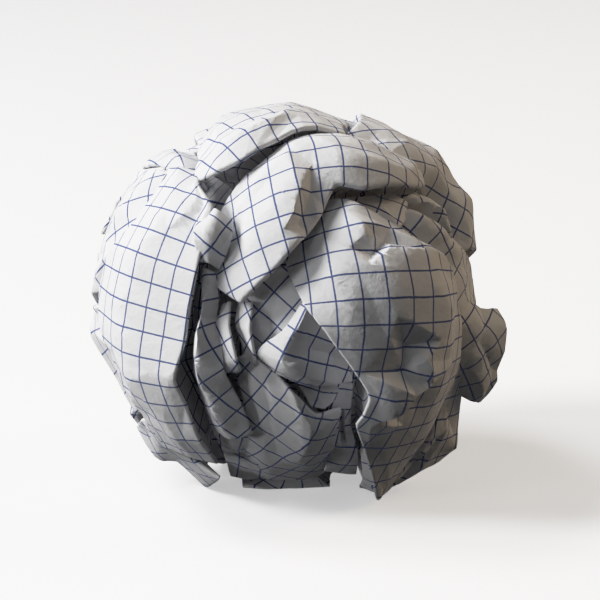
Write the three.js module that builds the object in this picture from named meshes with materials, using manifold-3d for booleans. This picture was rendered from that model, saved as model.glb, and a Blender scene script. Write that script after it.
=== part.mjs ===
// A ball of crumpled squared paper: one sheet of writing paper pressed by hand into a tight ball.
// Folded panels of the sheet lap over one another like leaves round a dense middle. The many turns inside
// are
// one solid. The outside has the panels, their rolled fold edges and the crevices between them.
import * as THREE from "three";
import { mergeVertices } from "three/addons/utils/BufferGeometryUtils.js";
import Module from "manifold-3d";

const wasm = await Module();
wasm.setup();

// Driving dimensions, in millimetres.
const MIDDLE_HEIGHT = 40; // the ball's middle above the surface it rests on
const CORE_RADIUS = 33; // the pressed mass of inner folds
const CORE_DENT = 1.2; // how unevenly that mass is pressed
const CREVICE_TOP = 54; // a crevice is cut from here down to its bottom, both from the ball's middle
const CREVICE_BOTTOM = 28;
const MESH_STEP = 10; // widest mesh step across a panel
const SHORTEST_EDGE = 1.2; // shorter mesh edges, left where panels cross, are closed up
const LIP_RADIUS = 0.5; // how roundly the paper turns under at a fold
const LIPS = { brow: 0.8, crown: 0.6, right_tab: 0.4 }; // panels whose folds differ from that
const RETURN_INSET = 3; // how far the paper runs back under its fold edge
const RETURN_DROP = 2.4; // and how far below the panel it is by then
const ROOT_INSET = 5; // where a panel enters the mass of inner folds
const ROOT_DROP = 9;
const APEX = 3; // a panel's solid ends this close to the ball's middle
const SMALLEST_AREA = 0.04; // least size of a face beside a closed-up edge: twice its area
const MOST_TURN = 0.6; // most that such a face may turn, in radians
const CLOSING_PASSES = 6; // times that the short edges are gone over
const STRAIGHTNESS = 0.55; // 1 joins fold corners by straight creases, 0 by soft curves
const FLAP_CORNERS = 4; // fold corners along each side of a plain flap
const FLAP_RAGGED = 3.5; // how far a plain flap's corners stray, along the sheet
const FLAP_UNEVEN = 1.1; // and how far in or out

// A fold corner is [bearing, elevation, distance]: degrees round the ball from its front towards its right,
// degrees above its middle, and millimetres from its middle. A panel is a list of rows of fold corners.
const PANELS = {
  // The tall panel down the left, from its top edge to its tip at the foot.
  left_wing: [
    [[-61, 48, 43], [-52, 49, 44], [-44, 50, 43]],
    [[-58, 42, 43], [-46, 43, 45], [-35, 44, 45]],
    [[-58, 35, 43], [-42, 37, 46], [-26, 38, 45]],
    [[-60, 27, 44], [-43, 28, 46], [-26, 27, 45.5]],
    [[-65, 20, 44], [-46, 20, 46.5], [-26, 20, 46]],
    [[-67, 9, 44], [-48, 9, 46.5], [-27, 11, 46]],
    [[-62, 0, 45], [-46, 0, 46.5], [-28, 1, 46]],
    [[-57, -7, 45], [-44, -9, 46.5], [-30, -8, 46.5]],
    [[-53, -17, 44], [-41, -17, 45.5], [-29, -17, 45.5]],
    [[-51, -28, 44], [-39, -29, 45], [-28, -29, 45]],
    [[-49, -38, 44], [-38, -39, 44], [-27, -40, 44]],
  ],
  // Its crumpled right-hand corner.
  wing_corner: [
    [[-27, 38, 45], [-23, 37, 46], [-19, 36, 43.5]],
    [[-28, 32, 46], [-23, 33, 47], [-18, 32, 44]],
    [[-27, 28, 46], [-23, 28, 46], [-19, 27, 43]],
    [[-26, 24, 44], [-24, 24, 44], [-22, 23, 41]],
  ],
  // Behind that panel, on the left of the ball: each row runs from front to back.
  left_back: [
    [[-62, 50, 41], [-75, 46, 42.5], [-100, 38, 43.5]],
    [[-60, 42, 40], [-74, 38, 43], [-98, 31, 42.5]],
    [[-60, 34, 40], [-76, 30, 43], [-95, 22, 42]],
    [[-64, 25, 40], [-78, 21, 43], [-93, 12, 42.5]],
    [[-70, 17, 41], [-80, 13, 43], [-92, 5, 41.5]],
    [[-71, 8, 40], [-82, 4, 42.5], [-90, -2, 41.5]],
  ],
  left_top_curl: [
    [[-62, 48, 42], [-52, 50, 42.5], [-44, 50, 40]],
    [[-72, 48, 43], [-64, 53, 43], [-52, 56, 39.5]],
    [[-98, 42, 42.5], [-106, 49, 41.5], [-90, 56, 38.5]],
  ],
  left_under: [
    [[-66, 2, 42], [-78, 0, 43], [-88, -3, 42]],
    [[-60, -5, 38], [-70, -8, 40], [-87, -11, 43.5]],
    [[-57, -12, 38], [-66, -15, 39.5], [-85, -19, 42]],
    [[-54, -19, 40], [-64, -22, 41], [-82, -30, 41.5]],
    [[-53, -27, 42], [-64, -29, 42], [-79, -36, 42.5]],
  ],
  left_foot: [
    [[-51, -28, 43.5], [-60, -32, 43], [-77, -39, 43]],
    [[-50, -37, 44], [-58, -41, 44], [-73, -48, 45.5]],
    [[-42, -44, 43.5], [-52, -49, 44], [-68, -54, 44.5]],
    [[-31, -49, 44], [-42, -56, 44.5], [-59, -62, 45]],
  ],
  // Over the top, left to right: each row runs from the front lip to the back.
  crown: [
    [[-41, 47, 42.5], [-46, 53, 42.5], [-62, 58, 41], [-105, 60, 39]],
    [[-29, 49, 45], [-36, 58, 45], [-62, 66, 44], [-123, 65, 42]],
    [[-20, 53, 45.5], [-26, 64, 46], [-55, 74, 44.5], [-132, 68, 42.5]],
    [[-11, 59, 46], [-14, 69, 46], [-35, 81, 44], [178, 75, 43]],
    [[1, 64, 46], [1, 74, 45], [20, 86, 43.5], [160, 74, 42.5]],
    [[19, 67, 45], [26, 74, 44], [60, 80, 42.5], [142, 71, 41.5]],
    [[40, 65, 44], [50, 70, 43], [75, 72, 42], [128, 66, 41]],
  ],
  // The band under the crown, from its low left end to its right end: each row runs down to its fold edge.
  brow: [
    [[-31, 22, 38], [-26, 20, 40], [-20, 17, 41.5], [-14, 14, 42.5]],
    [[-29, 35, 39], [-22, 31, 42], [-15, 25, 43.5], [-8, 20, 44.5]],
    [[-26, 44, 41], [-19, 40, 43.5], [-11, 33, 44.5], [-2, 25, 45]],
    [[-19, 51, 42], [-12, 47, 44.5], [-4, 40, 45.5], [4, 31, 45]],
    [[-11, 57, 43], [-4, 54, 45.5], [4, 47, 46], [11, 38, 45]],
    [[1, 62, 44], [7, 58, 45.5], [13, 52, 46], [18, 46, 45]],
    [[18, 65, 44], [22, 60, 45.5], [26, 52, 46], [28, 44, 45]],
    [[36, 64, 44], [38, 59, 45.5], [39, 51, 45.5], [40, 44, 45]],
    [[55, 60, 43.5], [54, 54, 44.5], [53, 48, 44.5], [52, 43, 44]],
    [[75, 54, 42], [72, 49, 43], [69, 45, 43], [66, 42, 42.5]],
  ],
  // The crest behind it, down the right: each row runs from front to back.
  back_crest: [
    [[48, 67, 42], [75, 68, 43.5], [123, 64, 43.5], [150, 55, 41]],
    [[64, 58, 43], [82, 59, 44.5], [116, 58, 44.5], [140, 48, 41.5]],
    [[66, 50, 42.5], [82, 51, 45], [108, 49, 45.5], [130, 40, 42]],
    [[72, 44, 41.5], [84, 43, 45], [104, 43, 46.5], [122, 34, 42]],
    [[80, 37, 38], [88, 35, 43.5], [100, 34, 45], [115, 26, 42]],
    [[82, 28, 36], [88, 27, 43], [98, 27, 46], [112, 18, 41.5]],
    [[80, 18, 36], [87, 17, 42], [94, 14, 42.5], [106, 8, 41]],
  ],
  // The big panel on the front right, with its left edge first in each row.
  main: [
    [[8, 38, 39], [16, 44, 41], [23, 42, 43], [29, 38, 44], [35, 34, 44.5]],
    [[0, 26, 38.5], [12, 32, 42], [24, 32, 45], [36, 30, 45.5], [44, 27, 44.5]],
    [[3, 18, 41], [14, 21, 45], [27, 22, 46], [40, 22, 46], [51, 21, 44]],
    [[6, 12, 43.5], [17, 13, 46], [29, 13, 46.5], [43, 13, 46], [57, 12, 43]],
    [[11, 5, 45], [20, 4, 46], [31, 3, 46.5], [45, 2, 46], [59, 1, 43]],
    [[18, -5, 46], [26, -5, 47], [35, -6, 47], [47, -8, 45.5], [60, -10, 43]],
    [[22, -12, 46.5], [29, -14, 47], [38, -16, 45.5], [49, -18, 44.5], [62, -19, 42.5]],
    [[20, -21, 45.5], [29, -23, 45.5], [39, -25, 44.5], [51, -27, 44], [65, -27, 42]],
    [[25, -31, 45], [33, -33, 45], [43, -34, 44.5], [54, -35, 44], [64, -36, 43]],
    [[32, -42, 46], [38, -43, 45.5], [45, -44, 45.5], [53, -44, 45], [60, -45, 44]],
    [[42, -53, 49], [44, -53, 48.5], [47, -53, 48], [50, -52, 47.5], [54, -51, 46.5]],
  ],
  // Deeper folds that show in the hollow between the brow, the big panel and the belly.
  hollow: [
    [[-15, 16, 37.5], [-9, 20, 38], [-2, 24, 38.5], [5, 24, 39]],
    [[-14, 9, 37], [-8, 12, 38], [0, 13, 39], [7, 12, 39.5]],
    [[-13, 2, 37], [-7, 3, 38], [-1, 4, 39], [4, 4, 39.5]],
    [[-12, -5, 37], [-7, -4, 37.5], [-2, -4, 38.5], [3, -4, 39]],
  ],
  middle_flap: [
    [[5, 14, 41.5], [7, 14, 42], [10, 13, 40.5]],
    [[0, 6, 40.5], [5, 6, 41.5], [13, 4, 40]],
    [[-6, 1, 39.5], [2, -1, 41.5], [17, -3, 39.5]],
    [[-9, -2, 39], [2, -6, 41.5], [20, -9, 39]],
    [[-3, -8, 39.5], [6, -11, 40.5], [21, -13, 38.5]],
  ],
  step_high: [
    [[1, -10, 38], [8, -12, 38.5], [16, -13, 38]],
    [[4, -14, 38.5], [10, -16, 39.5], [17, -16, 39]],
    [[8, -20, 39.5], [12, -21, 40], [17, -20, 38.5]],
  ],
  step_low: [
    [[16, -14, 37.5], [22, -16, 37.5]],
    [[16, -24, 38], [23, -25, 37.5]],
    [[17, -33, 38.5], [26, -33, 37]],
    [[18, -40, 39], [29, -41, 39.5]],
    [[20, -53, 40], [35, -53, 42]],
  ],
  // The low panel in front, left to right: each row runs down from its upper fold edge.
  belly: [
    [[-17, -6, 38.5], [-15, -16, 39], [-14, -28, 40], [-18, -42, 39.5], [-28, -56, 39]],
    [[-12, -3, 40], [-10, -14, 40.5], [-9, -28, 41], [-10, -44, 41], [-14, -62, 40.5]],
    [[-7, -6, 40.5], [-5, -16, 41.5], [-4, -29, 41.5], [-4, -44, 41], [-6, -62, 40.5]],
    [[-2, -10, 40.5], [0, -20, 41.5], [1, -31, 41.5], [1, -44, 41], [2, -62, 40.5]],
    [[3, -15, 41], [5, -24, 41.5], [6, -33, 41.5], [6, -45, 41], [9, -62, 40.5]],
    [[9, -22, 41], [10, -29, 41], [11, -36, 40.5], [12, -46, 40.5], [18, -61, 40]],
    [[17, -22, 39.5], [17, -30, 39.5], [18, -37, 39.5], [20, -45, 39], [30, -56, 38.5]],
  ],
  // Narrow pleats between the tall left panel and the hollow.
  left_pleat: [
    [[-26, 22, 41], [-24, 21, 42], [-22, 20, 40]],
    [[-26, 12, 40], [-24, 12, 43.5], [-21, 11, 40.5]],
    [[-28, 3, 41], [-24, 3, 46], [-20, 1, 41.5]],
    [[-29, -8, 41], [-24, -8, 46], [-18, -7, 43]],
    [[-28, -18, 41], [-21, -18, 45], [-14, -18, 42]],
    [[-27, -28, 41], [-19, -29, 43.5], [-12, -28, 42]],
  ],
  inner_pleat_left: [
    [[-21, 12, 38.5], [-18, 12, 38.5]],
    [[-21, 7, 39.5], [-17, 6, 41]],
    [[-20, 2, 40.5], [-15, 1, 42.5]],
    [[-19, -3, 41], [-14, -3, 43]],
    [[-18, -7, 41], [-14, -7, 41]],
  ],
  inner_pleat_right: [
    [[-16, 13, 38], [-12, 13, 40]],
    [[-16, 7, 38.5], [-11, 6, 41]],
    [[-14, 1, 39], [-10, 0, 41]],
    [[-13, -4, 39], [-10, -5, 40.5]],
  ],
  low_crumple: [
    [[-28, -31, 39], [-21, -31, 40.5], [-14, -32, 40.5]],
    [[-29, -38, 40], [-21, -38, 41.5], [-14, -38, 40.5]],
    [[-30, -46, 41], [-22, -46, 41], [-14, -46, 40.5]],
    [[-34, -58, 42], [-24, -59, 41.5], [-14, -60, 41]],
  ],
  // Folds in the deep crevice at the upper right.
  recess_fold: [
    [[20, 47, 38], [36, 46, 39.5], [54, 45, 39.5]],
    [[27, 42, 38.5], [40, 41, 41], [54, 40, 41]],
    [[38, 34, 38.5], [43, 33, 41], [49, 35, 40.5]],
  ],
  recess_band: [
    [[46, 36, 39], [52, 37, 40.5], [58, 36, 39.5]],
    [[48, 31, 39.5], [54, 33, 42], [60, 32, 40]],
    [[52, 26, 40], [60, 27, 42], [68, 26, 41]],
    [[56, 20, 40.5], [66, 20, 42], [80, 17, 41]],
    [[59, 13, 40.5], [70, 12, 41.5], [94, 8, 41]],
    [[60, 6, 40.5], [70, 4, 41.5], [90, -1, 41]],
    [[61, -3, 40], [70, -4, 40.5], [88, -6, 40]],
  ],
  recess_curl: [
    [[50, 41, 38.5], [58, 41, 40.5], [66, 41, 39]],
    [[54, 38, 38.5], [62, 37, 42], [70, 37, 40]],
    [[60, 33, 38], [68, 32, 42.5], [75, 32, 40]],
    [[66, 27, 38], [72, 26, 41], [79, 26, 39]],
  ],
  // The sheet's torn corner, which sticks out at the right.
  right_tab: [
    [[64, 6, 39], [72, 3, 42], [78, 0, 44.5], [82, -1, 46]],
    [[64, -2, 39.5], [70, -4, 44], [75, -5, 46.5], [80, -5, 48]],
    [[65, -10, 39.5], [69, -11, 44], [74, -12, 47], [80, -14, 48.5]],
    [[66, -17, 38.5], [71, -18, 43.5], [76, -19, 47], [81, -20, 49.5]],
    [[67, -24, 38], [72, -25, 42], [77, -26, 45.5], [82, -27, 47.5]],
  ],
  right_lower: [
    [[62, -12, 40.5], [69, -17, 41.5], [77, -24, 43]],
    [[64, -24, 42], [70, -29, 44], [78, -35, 47]],
    [[63, -34, 43.5], [69, -38, 46], [77, -40, 50]],
    [[58, -43, 45], [63, -46, 47], [73, -46, 48.5]],
    [[50, -51, 47], [54, -53, 47.5], [62, -54, 47]],
  ],
  right_foot: [
    [[28, -38, 42], [33, -42, 44], [39, -46, 45]],
    [[34, -50, 45], [40, -53, 48], [45, -54, 49]],
    [[50, -62, 44], [54, -62, 44.5], [58, -60, 45]],
  ],
  // The pressed place the ball stands on: the resting surface flattens it.
  sole: [
    [[-40, -70, 43.3], [0, -72, 42.8], [40, -70, 43.3]],
    [[-95, -76, 42], [180, -89, 41.5], [95, -76, 42]],
    [[-140, -68, 43.8], [180, -67, 44], [140, -68, 43.8]],
  ],
};

// Deep crevices between folds: rows of the two lips that face each other, each by its bearing and
// elevation.
const CREVICES = {
  // Between the big panel's upper right edge and the folds behind it.
  above_main: [
    [[22, 43], [26, 43]],
    [[29, 37], [34, 39]],
    [[36, 32], [42, 34]],
    [[43, 28], [48, 30]],
    [[49, 23], [52, 24]],
    [[54, 18], [56, 19]],
  ],
  // Down the right-hand edge of the tall left panel.
  beside_wing: [
    [[-26, 14], [-25, 14]],
    [[-27, 4], [-26, 4]],
    [[-29, -6], [-28, -6]],
    [[-28, -16], [-27, -17]],
    [[-27, -25], [-25, -26]],
  ],
  // Along the back of the tall left panel.
  behind_wing: [
    [[-60, 47], [-58, 46]],
    [[-60, 40], [-57, 40]],
    [[-61, 32], [-57, 31]],
    [[-63, 26], [-60, 25]],
    [[-69, 19], [-66, 18]],
  ],
  // Under the back crest, behind the curled folds.
  behind_curls: [
    [[64, 41], [72, 41]],
    [[70, 35], [78, 35]],
    [[75, 29], [82, 28]],
    [[75, 21], [82, 18]],
  ],
  between_folds: [
    [[52, 38], [54, 39]],
    [[56, 34], [62, 37]],
    [[63, 29], [66, 31]],
  ],
  // Left of the big panel's foot.
  beside_foot: [
    [[18, -26], [21, -25]],
    [[18, -33], [23, -33]],
    [[21, -40], [25, -40]],
  ],
};

// Plain flaps cover the back: [bearing, elevation, width, height, turn, distance at the tucked top edge,
// distance
// at the loose bottom edge], with the turn in degrees about the way it faces.
const FLAPS = {
  top_back: [195, 66, 44, 34, 15, 40, 44],
  back_high_left: [224, 36, 38, 46, -25, 39, 44.5],
  back_high: [178, 36, 52, 42, 12, 39.5, 45],
  back_high_right: [137, 30, 40, 48, -18, 39, 44.5],
  back_middle_left: [238, -4, 46, 50, 20, 38.5, 44],
  back_middle: [195, -6, 42, 48, -10, 38.5, 45],
  back_middle_right: [148, -8, 50, 44, 32, 38.5, 44.5],
  right_back: [108, -6, 40, 46, -14, 39, 43],
  back_low_left: [246, -42, 44, 36, -35, 39, 43.5],
  back_low: [200, -40, 48, 34, 15, 39, 43.5],
  back_low_right: [150, -42, 46, 36, -20, 39, 43],
  right_back_low: [106, -42, 44, 36, 25, 40, 45],
};

function corner([bearing, elevation, distance]) {
  const turn = THREE.MathUtils.degToRad(bearing);
  const rise = THREE.MathUtils.degToRad(elevation);
  const outward = new THREE.Vector3(
    Math.sin(turn) * Math.cos(rise),
    -Math.cos(turn) * Math.cos(rise),
    Math.sin(rise),
  );
  return outward.multiplyScalar(distance);
}

// A repeatable number from -1 to 1 for each key.
function stray(key) {
  const wave = Math.sin(key * 12.9898) * 43758.5453;
  return 2 * (wave - Math.floor(wave)) - 1;
}

// The rows of fold corners of a plain flap: a ragged rectangle laid on the ball, tucked in at its top edge.
function flapRows([bearing, elevation, width, height, turn, tucked, loose], key) {
  const radians = THREE.MathUtils.degToRad;
  const facing = new THREE.Quaternion()
    .setFromAxisAngle(new THREE.Vector3(0, 0, 1), radians(bearing))
    .multiply(new THREE.Quaternion().setFromAxisAngle(new THREE.Vector3(1, 0, 0), -radians(elevation)))
    .multiply(new THREE.Quaternion().setFromAxisAngle(new THREE.Vector3(0, 1, 0), radians(turn)));
  const rows = [];
  for (let i = 0; i < FLAP_CORNERS; i++) {
    const row = [];
    for (let j = 0; j < FLAP_CORNERS; j++) {
      const down = i / (FLAP_CORNERS - 1);
      const across = j / (FLAP_CORNERS - 1) - 0.5;
      const seed = 100 * key + 10 * i + j;
      const x = across * width + FLAP_RAGGED * stray(seed);
      const z = (0.5 - down) * height + FLAP_RAGGED * stray(seed + 0.3);
      const distance = tucked + (loose - tucked) * down + FLAP_UNEVEN * stray(seed + 0.6);
      row.push(new THREE.Vector3(x, -loose, z).setLength(distance).applyQuaternion(facing));
    }
    rows.push(row);
  }
  return rows;
}

// The point at place t along fold corners, where t counts corners: on a crease that is partly straight,
// partly soft.
function between(corners, t) {
  const last = corners.length - 1;
  const i = Math.min(Math.floor(t), last - 1);
  const straight = corners[i].clone().lerp(corners[i + 1], t - i);
  const soft = new THREE.CatmullRomCurve3(corners).getPoint(t / last);
  return soft.lerp(straight, STRAIGHTNESS);
}

function sheetPoint(rows, u, v) {
  return between(rows.map((row) => between(row, v)), u);
}

// Places along a direction of the panel so that no mesh step is much over MESH_STEP.
function places(lengths) {
  const list = [];
  lengths.forEach((length, i) => {
    const fewest = lengths.length > 1 ? 1 : 2;
    const steps = Math.max(fewest, Math.round(length / MESH_STEP));
    for (let k = 0; k < steps; k++) list.push(i + k / steps);
  });
  return [...list, lengths.length];
}

function average(values) {
  return values.reduce((sum, value) => sum + value, 0) / values.length;
}

// Mean distance from each row of fold corners to the next.
function rowGaps(rows) {
  return rows.slice(1).map((row, i) => average(row.map((point, j) => point.distanceTo(rows[i][j]))));
}

function transposed(rows) {
  return rows[0].map((_, j) => rows.map((row) => row[j]));
}

// One panel as a closed solid: the sheet's outer face, a rolled fold all round it, the paper returning
// beneath,
// and a root that narrows towards the ball's middle.
function panelSolid(rows, lip) {
  const gapsDown = rowGaps(rows);
  const gapsAcross = rowGaps(transposed(rows));
  const us = places(gapsDown);
  const vs = places(gapsAcross);
  const grid = us.map((u) => vs.map((v) => sheetPoint(rows, u, v)));
  const high = us.length - 1;
  const wide = vs.length - 1;

  const rim = [];
  for (let j = 0; j < wide; j++) rim.push([0, j]);
  for (let i = 0; i < high; i++) rim.push([i, wide]);
  for (let j = wide; j > 0; j--) rim.push([high, j]);
  for (let i = high; i > 0; i--) rim.push([i, 0]);

  const normals = grid.map((row, i) => row.map((_, j) => {
    const down = grid[Math.min(i + 1, high)][j].clone().sub(grid[Math.max(i - 1, 0)][j]);
    const across = row[Math.min(j + 1, wide)].clone().sub(row[Math.max(j - 1, 0)]);
    return across.cross(down).negate().normalize();
  }));
  const middle = grid[high >> 1][wide >> 1];
  const facesOut = Math.sign(normals[high >> 1][wide >> 1].dot(middle));

  const points = grid.flat();
  const rings = [rim.map(([i, j]) => i * (wide + 1) + j)];
  const addRing = (ring) => {
    rings.push(ring.map((_, k) => points.length + k));
    points.push(...ring);
  };
  for (const angle of [90, 180].map(THREE.MathUtils.degToRad)) {
    addRing(rim.map(([i, j]) => {
      const normal = normals[i][j].clone().multiplyScalar(facesOut);
      const inner = grid[THREE.MathUtils.clamp(i, 1, high - 1)][THREE.MathUtils.clamp(j, 1, wide - 1)];
      const away = grid[i][j].clone().sub(inner).projectOnPlane(normal).normalize();
      return grid[i][j].clone()
        .addScaledVector(away, lip * Math.sin(angle))
        .addScaledVector(normal, lip * (Math.cos(angle) - 1));
    }));
  }
  const insetPoint = ([i, j], inset, drop) => {
    const shrink = (place, gaps) => {
      const share = Math.min(0.45, inset / gaps.reduce((sum, gap) => sum + gap, 0));
      return share * gaps.length + place * (1 - 2 * share);
    };
    const point = sheetPoint(rows, shrink(us[i], gapsDown), shrink(vs[j], gapsAcross));
    return point.setLength(point.length() - drop);
  };
  addRing(rim.map((place) => insetPoint(place, RETURN_INSET, RETURN_DROP)));
  addRing(rim.map((place) => insetPoint(place, ROOT_INSET, ROOT_DROP)));
  points.push(middle.clone().setLength(APEX));

  const faces = [];
  for (let i = 0; i < high; i++) {
    for (let j = 0; j < wide; j++) {
      const a = i * (wide + 1) + j;
      const below = a + wide + 1;
      faces.push(a, below, a + 1, a + 1, below, below + 1);
    }
  }
  rings.slice(1).forEach((ring, r) => ring.forEach((point, k) => {
    const next = (k + 1) % ring.length;
    const above = rings[r];
    faces.push(above[k], above[next], point, above[next], ring[next], point);
  }));
  const root = rings.at(-1);
  root.forEach((point, k) => faces.push(point, root[(k + 1) % root.length], points.length - 1));
  if (facesOut < 0) faces.reverse();
  return toSolid(new THREE.BufferGeometry().setFromPoints(points).setIndex(faces));
}

function toSolid(geometry) {
  const bare = geometry.clone();
  bare.deleteAttribute("normal");
  bare.deleteAttribute("uv");
  const merged = mergeVertices(bare);
  return new wasm.Manifold(new wasm.Mesh({
    numProp: 3,
    vertProperties: merged.attributes.position.array,
    triVerts: new Uint32Array(merged.index.array),
  }));
}

function toGeometry(solid) {
  const { vertProperties, triVerts } = solid.getMesh();
  return new THREE.BufferGeometry()
    .setAttribute("position", new THREE.BufferAttribute(vertProperties, 3))
    .setIndex(new THREE.BufferAttribute(triVerts, 1));
}

// Closes up the short edges left where panels cross: each becomes one of its own ends, so long as the skin
// stays
// one closed surface and no face beside it turns over. Points on the resting surface stay there.
function withoutShortEdges(geometry) {
  const position = geometry.attributes.position;
  const index = geometry.index.array;
  const points = [];
  for (let i = 0; i < position.count; i++) points.push(new THREE.Vector3().fromBufferAttribute(position, i));
  const faces = [];
  for (let f = 0; f < index.length; f += 3) faces.push([...index.subarray(f, f + 3)]);
  const around = points.map(() => new Set());
  faces.forEach((face, f) => face.forEach((point) => around[point].add(f)));

  const neighbours = (point) => {
    const near = [...around[point]].flatMap((f) => faces[f]);
    return new Set(near.filter((other) => other !== point));
  };
  const areaNormal = (face) => {
    const [a, b, c] = face.map((point) => points[point]);
    return b.clone().sub(a).cross(c.clone().sub(a));
  };
  const canClose = (gone, kept) => {
    const beside = neighbours(kept);
    if ([...neighbours(gone)].filter((point) => beside.has(point)).length !== 2) return false;
    if (onRest(points[gone]) && !onRest(points[kept])) return false;
    return [...around[gone]].filter((f) => !faces[f].includes(kept)).every((f) => {
      const before = areaNormal(faces[f]);
      const after = areaNormal(faces[f].map((point) => (point === gone ? kept : point)));
      const staysFacing = before.length() < SMALLEST_AREA || before.angleTo(after) < MOST_TURN;
      return after.length() > SMALLEST_AREA && staysFacing;
    });
  };
  const close = (gone, kept) => {
    for (const f of [...around[gone]]) {
      if (faces[f].includes(kept)) {
        faces[f].forEach((point) => around[point].delete(f));
        faces[f] = null;
      } else {
        faces[f] = faces[f].map((point) => (point === gone ? kept : point));
        around[kept].add(f);
      }
    }
    around[gone].clear();
  };

  for (let pass = 0; pass < CLOSING_PASSES; pass++) {
    const edges = [];
    points.forEach((point, a) => neighbours(a).forEach((b) => {
      const length = point.distanceTo(points[b]);
      if (length < SHORTEST_EDGE) edges.push({ a, b, length });
    }));
    edges.sort((one, other) => one.length - other.length);
    for (const { a, b } of edges) {
      if (neighbours(a).has(b) && canClose(a, b)) close(a, b);
    }
  }
  const corners = faces.filter(Boolean).flat().map((point) => points[point]);
  return mergeVertices(new THREE.BufferGeometry().setFromPoints(corners));
}

// A crevice as the wedge that is cut out for it: it slopes down from the first lip to under the second.
function creviceSolid(rows) {
  const points = rows.flatMap(([one, other]) => {
    const lips = [corner([...one, CREVICE_TOP]), corner([...other, CREVICE_TOP])];
    const bottom = lips[1].clone().setLength(CREVICE_BOTTOM);
    return [...lips, bottom];
  });
  const last = points.length - 3;
  const faces = [0, 2, 1, last, last + 1, last + 2];
  for (let a = 0; a < last; a += 3) {
    for (const [k, next] of [[0, 1], [1, 2], [2, 0]]) {
      faces.push(a + k, a + next, a + 3 + next, a + k, a + 3 + next, a + 3 + k);
    }
  }
  const wedge = new THREE.BufferGeometry().setFromPoints(points);
  const solid = toSolid(wedge.setIndex(faces));
  return solid.volume() > 0 ? solid : toSolid(wedge.setIndex(faces.reverse()));
}

function onRest(point) {
  return Math.abs(point.z + MIDDLE_HEIGHT) < 1e-3;
}

// The pressed inner folds: a ball with shallow dents.
function core() {
  const ball = new THREE.IcosahedronGeometry(CORE_RADIUS, 2);
  ball.deleteAttribute("normal");
  ball.deleteAttribute("uv");
  const geometry = mergeVertices(ball);
  const place = geometry.attributes.position;
  const point = new THREE.Vector3();
  for (let i = 0; i < place.count; i++) {
    point.fromBufferAttribute(place, i);
    point.setLength(point.length() + CORE_DENT * stray(i));
    place.setXYZ(i, point.x, point.y, point.z);
  }
  return toSolid(geometry);
}

// Everything below the resting surface, taken off where paper is pressed flat against it.
function restingSurface() {
  const depth = 20;
  const slab = new THREE.BoxGeometry(200, 200, depth);
  return toSolid(slab.translate(0, 0, -MIDDLE_HEIGHT - depth / 2));
}

function crumpledSheet() {
  let solid = core();
  for (const [name, rows] of Object.entries(PANELS)) {
    solid = solid.add(panelSolid(rows.map((row) => row.map(corner)), LIPS[name] ?? LIP_RADIUS));
  }
  Object.values(FLAPS).forEach((flap, key) => {
    solid = solid.add(panelSolid(flapRows(flap, key + 1), LIP_RADIUS));
  });
  for (const rows of Object.values(CREVICES)) solid = solid.subtract(creviceSolid(rows));
  solid = solid.subtract(restingSurface());
  const skins = solid.decompose().sort((a, b) => b.volume() - a.volume());
  const geometry = withoutShortEdges(toGeometry(skins[0]));
  geometry.computeBoundingBox();
  const middle = geometry.boundingBox.getCenter(new THREE.Vector3());
  return geometry.translate(-middle.x, -middle.y, MIDDLE_HEIGHT);
}

const paper = new THREE.MeshStandardMaterial({ color: 0xe9e8e6, roughness: 0.88, metalness: 0 });
const sheet = new THREE.Mesh(crumpledSheet(), paper);
sheet.name = "crumpled_sheet";

const group = new THREE.Group();
group.add(sheet);

export default group;
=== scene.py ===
"""A ball of crumpled squared paper, standing on a plain pale floor.

One sheet of writing paper is pressed into a ball: folded panels lap over one another round a dense middle.
Each panel is a creased sheet that rolls under at its fold edges and runs down into the ball, and all of
them are joined into one closed skin. The printed squares follow the sheet's own flat coordinates.
"""
import math

import bmesh
import bpy
import numpy as np
from mathutils import Matrix, Vector, geometry, kdtree


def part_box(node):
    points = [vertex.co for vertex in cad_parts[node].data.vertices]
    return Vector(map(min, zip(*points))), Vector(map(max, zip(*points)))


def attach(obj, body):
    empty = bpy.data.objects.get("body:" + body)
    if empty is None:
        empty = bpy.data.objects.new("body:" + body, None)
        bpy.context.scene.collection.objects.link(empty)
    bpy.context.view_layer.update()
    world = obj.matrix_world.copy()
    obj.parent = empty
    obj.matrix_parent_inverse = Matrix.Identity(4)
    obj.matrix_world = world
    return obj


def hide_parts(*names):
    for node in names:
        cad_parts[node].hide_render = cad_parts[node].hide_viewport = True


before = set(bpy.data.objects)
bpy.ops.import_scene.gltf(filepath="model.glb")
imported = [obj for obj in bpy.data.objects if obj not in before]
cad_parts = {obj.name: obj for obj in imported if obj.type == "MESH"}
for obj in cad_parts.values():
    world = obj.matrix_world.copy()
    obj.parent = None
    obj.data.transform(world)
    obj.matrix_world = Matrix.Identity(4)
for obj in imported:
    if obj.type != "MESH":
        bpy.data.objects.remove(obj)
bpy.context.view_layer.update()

NODE = "crumpled_sheet"
MM = 0.001

# The ball, in millimetres, as in the CAD.
MIDDLE_HEIGHT = 40
CORE_RADIUS = 33
STRAIGHTNESS = 0.55
RETURN_INSET, RETURN_DROP = 3, 2.4
ROOT_INSET, ROOT_DROP = 5, 9
WIDEST_INSET = 0.45  # share of a panel's size that its return or root is set in by at most
APEX = 3
CREVICE_TOP, CREVICE_BOTTOM = 54, 28
FLAP_CORNERS = 4
FLAP_RAGGED = 3.5
FLAP_UNEVEN = 1.1
SLAB = (0.2, 0.2, 0.02)  # metres of what is cut away under the ball

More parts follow.
